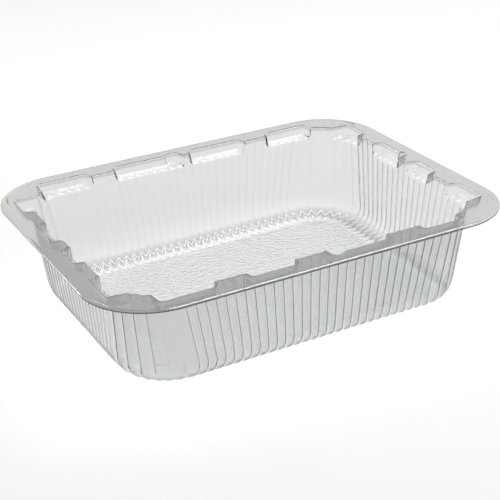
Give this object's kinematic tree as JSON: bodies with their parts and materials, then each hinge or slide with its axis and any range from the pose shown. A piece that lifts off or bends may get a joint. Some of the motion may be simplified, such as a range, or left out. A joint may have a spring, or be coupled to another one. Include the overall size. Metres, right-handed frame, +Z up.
{
  "type": "snack tray",
  "caption": "Clear thermoformed rectangular food tray with a flat rim, denesting pockets under the rim and fluted, slightly tapered walls.",
  "frame": {"origin": "middle of the base, on the face the tray stands on", "axes": "+Z up through the open top, +X along the long side to the right, +Y towards the back"},
  "size_m": [0.184, 0.144, 0.0437],
  "materials": {
    "clear_plastic": "clear thermoformed sheet, glossy"
  },
  "bodies": {
    "root": {"tray": "clear_plastic"}
  },
  "joints": []
}
